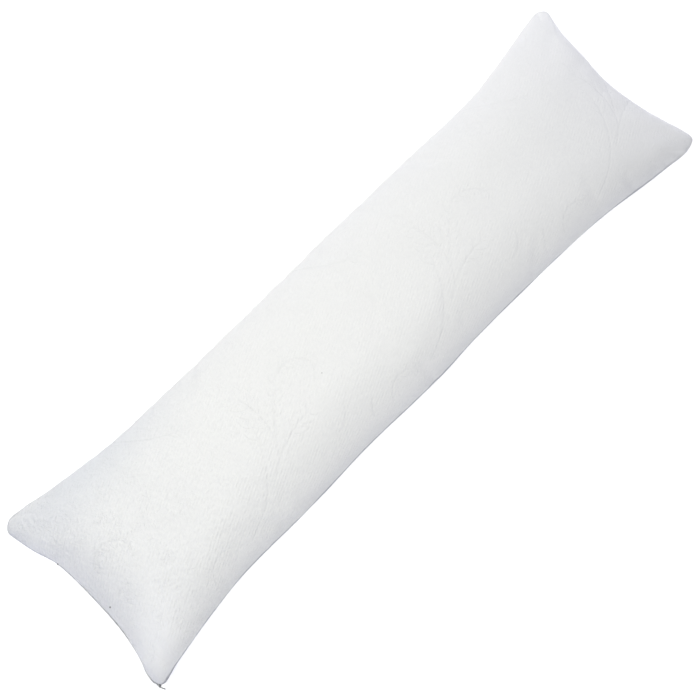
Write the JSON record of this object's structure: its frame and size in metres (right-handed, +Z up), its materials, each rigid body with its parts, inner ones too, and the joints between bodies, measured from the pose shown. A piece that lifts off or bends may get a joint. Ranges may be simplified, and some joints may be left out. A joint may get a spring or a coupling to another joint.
{
  "type": "body pillow",
  "caption": "Long filled body pillow with a zip in one end seam, lying on its back: drawn-in sides, soft crown and four ears.",
  "frame": {"origin": "middle of the bounding box's underside, on the surface that the pillow lies on", "axes": "+X along the pillow away from the zipped end, +Y to its left, +Z up"},
  "size_m": [1.4034, 0.4098, 0.164],
  "materials": {
    "cover": "white double-jersey knit with fine slanting ribs and a faint raised leaf pattern",
    "zip_coil": "pale grey nylon coil",
    "zip_metal": "dark nickel, slightly worn"
  },
  "bodies": {
    "root": {"pillow": "cover", "zip_chain": "zip_coil", "zip_slider": "zip_metal", "zip_pull": "zip_metal"}
  },
  "joints": []
}
